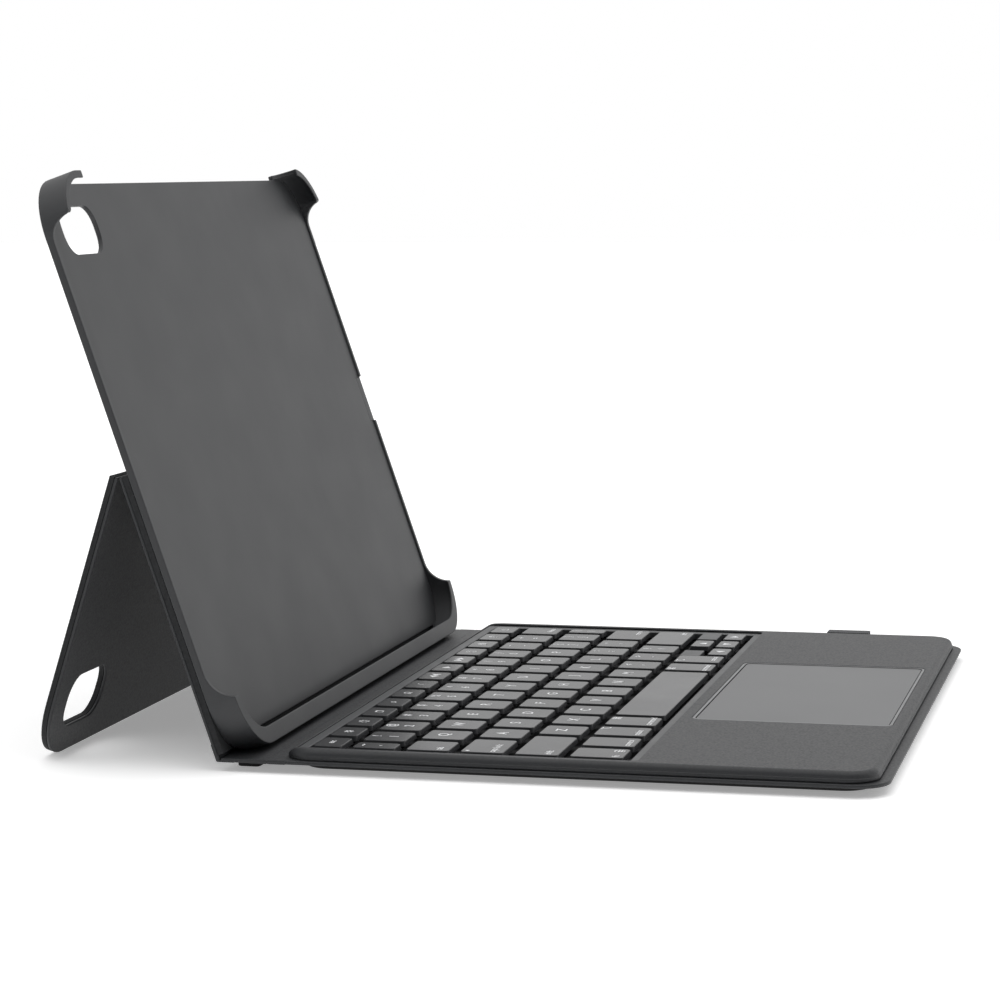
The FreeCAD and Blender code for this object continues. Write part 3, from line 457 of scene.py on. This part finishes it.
def cap_tree():
    """Node tree for a run of caps: a rounded blank, drawn up with taper, its top edge rounded in steps."""
    tree = bpy.data.node_groups.new("cap_run", "GeometryNodeTree")
    sizes = ("Left", "Front", "Width", "Depth", "Pitch", "Underside", "Height", "Taper", "Corner", "Edge")
    for name in sizes:
        tree.interface.new_socket(name, in_out="INPUT", socket_type="NodeSocketFloat")
    tree.interface.new_socket("Count", in_out="INPUT", socket_type="NodeSocketInt")
    tree.interface.new_socket("Material", in_out="INPUT", socket_type="NodeSocketMaterial")
    tree.interface.new_socket("Caps", in_out="OUTPUT", socket_type="NodeSocketGeometry")
    given = add(tree, "NodeGroupInput").outputs

    blank = add(tree, "GeometryNodeCurvePrimitiveQuadrilateral",
                {"Width": given["Width"], "Height": given["Depth"]})
    rounded = add(tree, "GeometryNodeFilletCurve", {"Curve": blank.outputs[0], "Radius": given["Corner"]},
                  {"Count": 4}, mode="POLY")
    filled = add(tree, "GeometryNodeFillCurve", {"Curve": rounded.outputs[0]}, mode="NGONS")
    under = add(tree, "GeometryNodeFlipFaces", {"Mesh": filled.outputs[0]})
    parts, top = filled.outputs[0], None
    wall = add(tree, "ShaderNodeMath", {0: given["Height"], 1: given["Edge"]}, operation="SUBTRACT")
    steps = [(wall.outputs[0], given["Taper"])]
    turns = 3
    for k in range(turns):
        a, b = math.pi / 2 * k / turns, math.pi / 2 * (k + 1) / turns
        shares = (math.sin(b) - math.sin(a), math.cos(a) - math.cos(b))
        parted = [add(tree, "ShaderNodeMath", {0: given["Edge"]}, {1: share}, operation="MULTIPLY")
                  for share in shares]
        steps.append([node.outputs[0] for node in parted])
    for up, inward in steps:
        grown = add(tree, "GeometryNodeExtrudeMesh", {"Mesh": parts, "Offset Scale": up},
                    {"Offset": (0, 0, 1)}, mode="FACES")
        grown.inputs["Individual"].default_value = False
        if top is not None:
            tree.links.new(top, grown.inputs["Selection"])
        top = grown.outputs["Top"]
        spot = add(tree, "GeometryNodeInputPosition")
        side = add(tree, "ShaderNodeVectorMath", {0: spot.outputs[0]}, operation="SIGN")
        reach = add(tree, "ShaderNodeCombineXYZ", {"X": inward, "Y": inward})
        outward = add(tree, "ShaderNodeVectorMath", {0: side.outputs[0], 1: reach.outputs[0]},
                      operation="MULTIPLY")
        pull = add(tree, "ShaderNodeVectorMath", {0: outward.outputs[0]}, {"Scale": -1.0}, operation="SCALE")
        moved = add(tree, "GeometryNodeSetPosition",
                    {"Geometry": grown.outputs["Mesh"], "Selection": top, "Offset": pull.outputs[0]})
        parts = moved.outputs[0]
    shell = add(tree, "GeometryNodeJoinGeometry")
    tree.links.new(parts, shell.inputs[0])
    tree.links.new(under.outputs[0], shell.inputs[0])
    closed = add(tree, "GeometryNodeMergeByDistance", {"Geometry": shell.outputs[0]}, {"Distance": weld})
    near = add(tree, "ShaderNodeCombineXYZ",
               {"X": given["Left"], "Y": given["Front"], "Z": given["Underside"]})
    across = add(tree, "ShaderNodeCombineXYZ", {"X": given["Width"], "Y": given["Depth"]})
    start = add(tree, "ShaderNodeVectorMath", {0: across.outputs[0], 2: near.outputs[0]},
                {1: (0.5, 0.5, 0.5)}, operation="MULTIPLY_ADD")
    along = add(tree, "ShaderNodeCombineXYZ", {"X": given["Pitch"]})
    line = add(tree, "GeometryNodeMeshLine",
               {"Count": given["Count"], "Start Location": start.outputs[0], "Offset": along.outputs[0]})
    row = add(tree, "GeometryNodeInstanceOnPoints",
              {"Points": line.outputs[0], "Instance": closed.outputs[0]})
    real = add(tree, "GeometryNodeRealizeInstances", {"Geometry": row.outputs[0]})
    painted = add(tree, "GeometryNodeSetMaterial",
                  {"Geometry": real.outputs[0], "Material": given["Material"]})
    add(tree, "NodeGroupOutput", {0: painted.outputs[0]})
    return tree


def cap_boxes(node):
    """(left, front, right, rear) of each cap of a node, from its separate solids, left to right."""
    mesh = bmesh.new()
    mesh.from_mesh(nodes[node].data)
    bmesh.ops.remove_doubles(mesh, verts=mesh.verts, dist=weld)
    seen, boxes = set(), []
    for seed in mesh.verts:
        if seed in seen:
            continue
        island, edge = {seed}, [seed]
        while edge:
            for other in [e.other_vert(v) for v in [edge.pop()] for e in v.link_edges]:
                if other not in island:
                    island.add(other)
                    edge.append(other)
        seen |= island
        xs, ys = [v.co.x for v in island], [v.co.y for v in island]
        boxes.append((min(xs), min(ys), max(xs), max(ys)))
    mesh.free()
    return sorted(boxes)


def run_of_caps(tree, boxes, low, high):
    """The mesh of one run of equal caps."""
    holder = bpy.data.objects.new("run", bpy.data.meshes.new("run"))
    bpy.context.scene.collection.objects.link(holder)
    maker = holder.modifiers.new("caps", "NODES")
    maker.node_group = tree
    left, front, right, rear = boxes[0]
    values = {"Left": left, "Front": front, "Width": right - left, "Depth": rear - front,
              "Pitch": boxes[1][0] - left if len(boxes) > 1 else 0.0, "Underside": low, "Height": high - low,
              "Taper": cap_taper, "Corner": cap_corner, "Edge": cap_edge, "Count": len(boxes),
              "Material": cap_abs}
    for item in tree.interface.items_tree:
        if item.in_out == "INPUT":
            maker[item.identifier] = values[item.name]
    graph = bpy.context.evaluated_depsgraph_get()
    graph.update()
    made = bpy.data.meshes.new_from_object(holder.evaluated_get(graph))
    bpy.data.objects.remove(holder)
    return made


caps = {}
maker_tree = cap_tree()
for node in key_nodes:
    caps[node] = cap_boxes(node)
    low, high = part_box(node)
    whole = bmesh.new()
    run = []
    for box in caps[node] + [None]:
        if run and (box is None or abs((box[2] - box[0]) - (run[0][2] - run[0][0])) > same_width):
            whole.from_mesh(run_of_caps(maker_tree, run, high.z - cap_deep, high.z))
            run = []
        run.append(box)
    # Each cap is a shell: its underside is hollow, so that a pressed cap clears its dome.
    whole.normal_update()
    floors = [face for face in whole.faces if face.normal.z < -0.9]
    bmesh.ops.inset_individual(whole, faces=floors, thickness=cap_wall)
    roofs = bmesh.ops.extrude_discrete_faces(whole, faces=floors)["faces"]
    bmesh.ops.translate(whole, vec=(0, 0, cap_hollow), verts=[v for face in roofs for v in face.verts])
    for face in whole.faces:
        face.smooth = True
    piece = piece_from(whole, "caps_" + node.split("_", 1)[1], cap_abs)
    piece.data.set_sharp_from_angle(angle=smooth_below)
    piece.modifiers.new("weighted_normals", "WEIGHTED_NORMAL").keep_sharp = True
    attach(piece, node)
    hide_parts(node)

# ---------------------------------------------------------------- key legends
# Letters, figures and plain signs pad-printed on the caps in pale grey ink. Letters sit a
# little behind the middle of a cap, words in its front corner.
ink_thick = 0.02 * MM
letter = 4.9 * MM
figure = 4.2 * MM
word = 3.0 * MM
icon = 3.6 * MM
stroke = 0.014
word_in = 1.7 * MM
ink_clear = 0.004 * MM

# Pad-printing ink: thin, flat and pale, slightly worn so that it is never an even white.
ink, tree, shader, place = finish("ink_pad_printed", 0.55)
mottle(tree, shader, place, 1.5 * MM, "#dfe0e2", "#f2f3f4")


def print_sign(mesh, text, size, x, y, z, across=0):
    """Adds one sign to the mesh: centred at x (0), or starting (-1) or ending (1) there."""
    curve = bpy.data.curves.new("sign", "FONT")
    curve.body = text
    curve.size = 1.0
    curve.resolution_u = 3
    curve.extrude = ink_thick / size
    curve.offset = stroke
    holder = bpy.data.objects.new("sign", curve)
    bpy.context.scene.collection.objects.link(holder)
    graph = bpy.context.evaluated_depsgraph_get()
    graph.update()
    sign = bpy.data.meshes.new_from_object(holder.evaluated_get(graph))
    xs, ys = [v.co.x for v in sign.vertices], [v.co.y for v in sign.vertices]
    anchor = {-1: min(xs), 0: (min(xs) + max(xs)) / 2, 1: max(xs)}[across]
    sign.transform(Matrix.Translation((x, y, z)) @ Matrix.Scale(size, 4)
                   @ Matrix.Translation((-anchor, -(min(ys) + max(ys)) / 2, 0)))
    mesh.from_mesh(sign)
    bpy.data.objects.remove(holder)


# How far each kind of sign sits behind the middle of its cap, in millimetres.
upper_rise = 4.0
lower_drop = -1.4
letter_rise = 0.8
word_drop = -3.1
bottom_drop = -5.4
sign_rise = 6.0
lamp_rise = 4.6
lamp = 1.6 * MM


def two(upper, lower):
    """A shifted sign over a plain one."""
    return [(upper, figure, 0, upper_rise), (lower, figure, 0, lower_drop)]


def one(text):
    """A letter."""
    return [(text, letter, 0, letter_rise)]


def corner(text, across, extra=()):
    """A word in a front corner, and anything else printed on its cap."""
    return [(text, word, across, word_drop), *extra]


function_signs = ("☼", "☀", "❐", "⌕", "☊", "☾", "◀◀", "▶", "▶▶", "🔇", "🔉", "🔊", "⏻")
signs = {
    "keys_function": [[("esc", word, 0, 0)]] + [[(sign, icon, 0, 0)] for sign in function_signs],
    "keys_number": [two("~", "`")] + [two(a, b) for a, b in zip("!@#$%^&*()_+", "1234567890-=")],
    "keys_upper_letters": [one(c) for c in "QWERTYUIOP"] + [two("{", "["), two("}", "]"), two("|", "\\")],
    "keys_home_letters": [one(c) for c in "ASDFGHJKL"] + [two(":", ";"), two('"', "'")],
    "keys_lower_letters": [one(c) for c in "ZXCVBNM"] + [two("<", ","), two(">", "."), two("?", "/")],
    "key_delete": [corner("delete", 1)],
    "key_tab": [corner("tab", -1)],
    "key_caps_lock": [corner("caps lock", -1, [("●", lamp, -1, lamp_rise)])],
    "key_return": [corner("return", 1)],
    "key_shift_left": [corner("shift", -1)],
    "key_shift_right": [corner("shift", 1)],
    "key_globe": [[("fn", word, -1, bottom_drop), ("🌐", icon, 1, bottom_drop)]],
    "key_control": [[("control", word, -1, bottom_drop)]],
    "key_option_left": [[("option", word, -1, bottom_drop), ("⌥", icon, 1, sign_rise)]],
    "key_command_left": [[("command", word, -1, bottom_drop), ("⌘", icon, 1, sign_rise)]],
    "key_command_right": [[("command", word, 1, bottom_drop), ("⌘", icon, -1, sign_rise)]],
    "key_option_right": [[("option", word, 1, bottom_drop), ("⌥", icon, -1, sign_rise)]],
    "key_arrow_left": [[("◀", icon, 0, 0)]],
    "key_arrow_down": [[("▼", icon, 0, 0)]],
    "key_arrow_up": [[("▲", icon, 0, 0)]],
    "key_arrow_right": [[("▶", icon, 0, 0)]],
}
for node, rows in signs.items():
    printed = bmesh.new()
    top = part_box(node)[1].z
    for (left, front, right, rear), marks in zip(caps[node], rows):
        for text, size, across, offset in marks:
            x = {-1: left + word_in, 0: (left + right) / 2, 1: right - word_in}[across]
            print_sign(printed, text, size, x, (front + rear) / 2 + offset * MM, top + ink_clear, across)
    piece = piece_from(printed, "legend_" + node.split("_", 1)[1], ink)
    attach(piece, node)

# ---------------------------------------------------------------- trackpad
# A sheet of etched glass, painted grey on its back, on a circuit board that rocks about its
# rear edge. A thin ABS frame trims the opening in the deck.
pad_edge = 0.2 * MM
trim_edge = 0.12 * MM

# Etched glass over grey paint: smooth and satin, paler than the plastic round it.
etched, tree, shader, place = finish("glass_etched_grey", 0.4, Coat_Weight=0.15, Coat_Roughness=0.3)
mottle(tree, shader, place, 60 * MM, "#444547", "#464749", (0.41, 0.44))
grit(tree, shader, place, 0.3 * MM, 0.002 * MM)
softened("trackpad_plate", "trackpad_glass", pad_edge, etched)

# The frame round it is the same plastic as the key frame, polished along its top.
polished, tree, shader, place = finish("abs_polished_trim", 0.3)
mottle(tree, shader, place, 10 * MM, "#4a4b4d", "#4e4f51", (0.27, 0.33))
softened("trackpad_bezel", "trackpad_frame", trim_edge, polished)

# ---------------------------------------------------------------- works under the keys
# Hidden when the case is whole: a steel plate screwed to the tray, a printed membrane, a sheet
# of silicone domes, the scissor frames, the boards, the cell and the charging port.
film, tree, shader, place = finish("polyester_film_printed", 0.35)
mottle(tree, shader, place, 5 * MM, "#1d1e22", "#26272b")
silicone, tree, shader, place = finish("silicone_black", 0.5)
mottle(tree, shader, place, 4 * MM, "#111112", "#171718")
acetal, tree, shader, place = finish("acetal_black", 0.4)
mottle(tree, shader, place, 3 * MM, "#161617", "#1c1c1d")
mask, tree, shader, place = finish("solder_mask_green", 0.35)
mottle(tree, shader, place, 2 * MM, "#12301d", "#1b4529")
pouch, tree, shader, place = finish("foil_pouch", 0.3, Metallic=0.6)
mottle(tree, shader, place, 6 * MM, "#8f9093", "#a4a5a8", (0.25, 0.4))
grit(tree, shader, place, 2 * MM, 0.05 * MM)
blacked, tree, shader, place = finish("steel_blacked", 0.5, Metallic=0.7)
mottle(tree, shader, place, 4 * MM, "#141415", "#1b1b1c", (0.45, 0.6))
for material, hidden in ((blacked, ("support_plate", "plate_screws")), (nickel, ("charging_port",)),
                         (film, ("membrane",)), (silicone, ("dome_mat",)),
                         (acetal, ("scissor_frames", "trackpad_switch")),
                         (mask, ("main_board", "trackpad_board")), (pouch, ("battery",))):
    for node in hidden:
        nodes[node].data.materials.clear()
        nodes[node].data.materials.append(material)

# ---------------------------------------------------------------- floor, light and camera
# A white table, a surround that is dim on one side, one broad light overhead and the camera.
floor_half = 6.0
floor_drop = 0.1 * MM
card_glow = 0.3
sun_strength = 0.7
sun_width = math.radians(70)

floor_mesh = bmesh.new()
bmesh.ops.create_grid(floor_mesh, x_segments=1, y_segments=1, size=floor_half)
for vertex in floor_mesh.verts:
    vertex.co.z = -floor_drop

# White coated card with a faint glow of its own: even and matt, under soft grey shadows.
paper, tree, shader, place = finish("card_white", 0.9, Specular_IOR_Level=0.1,
                                    Emission_Color=(1, 1, 1, 1), Emission_Strength=card_glow)
mottle(tree, shader, place, 0.5, "#f6f6f6", "#f9f9f9")
floor = piece_from(floor_mesh, "floor", paper)

# The room is white overhead and beyond the case, and dims towards the viewer and the floor.
dim_side = (-0.85, -0.25, -0.46)
dim_start, dim_end = -0.15, 0.6
dim_level = 0.06
world = bpy.data.worlds.new("surround")
bpy.context.scene.world = world
world.use_nodes = True
tree = world.node_tree
toward = add(tree, "ShaderNodeVectorMath", {0: add(tree, "ShaderNodeTexCoord").outputs["Generated"]},
             {1: dim_side}, operation="DOT_PRODUCT")
dim = add(tree, "ShaderNodeMapRange", {"Value": toward.outputs["Value"]},
          {"From Min": dim_start, "From Max": dim_end, "To Min": 1.0, "To Max": dim_level},
          interpolation_type="SMOOTHSTEP")
tree.links.new(dim.outputs["Result"], tree.nodes["Background"].inputs["Color"])
tree.nodes["Background"].inputs["Strength"].default_value = 1.0

sky = bpy.data.lights.new("skylight", "SUN")
sky.energy = sun_strength
sky.angle = sun_width
sky_holder = bpy.data.objects.new("skylight", sky)
bpy.context.scene.collection.objects.link(sky_holder)

camera_data = bpy.data.cameras.new("camera")
camera_data.sensor_width = 36
camera_data.lens = 104.817
camera_data.clip_start = 0.01
camera = bpy.data.objects.new("camera", camera_data)
yaw, pitch, roll = math.radians(13.854), math.radians(6.475), math.radians(0.454)
ahead = Vector((math.cos(yaw) * math.cos(pitch), math.sin(yaw) * math.cos(pitch), -math.sin(pitch)))
right = Vector((math.sin(yaw), -math.cos(yaw), 0))
down = ahead.cross(right)
right, down = right * math.cos(roll) + down * math.sin(roll), down * math.cos(roll) - right * math.sin(roll)
stand = Vector((-0.940873, -0.109419, 0.178915))
turned = Matrix((right, -down, -ahead)).transposed().to_4x4()
camera.matrix_world = Matrix.Translation(stand) @ turned
bpy.context.scene.collection.objects.link(camera)
bpy.context.scene.camera = camera
bpy.context.scene.view_settings.view_transform = "Standard"
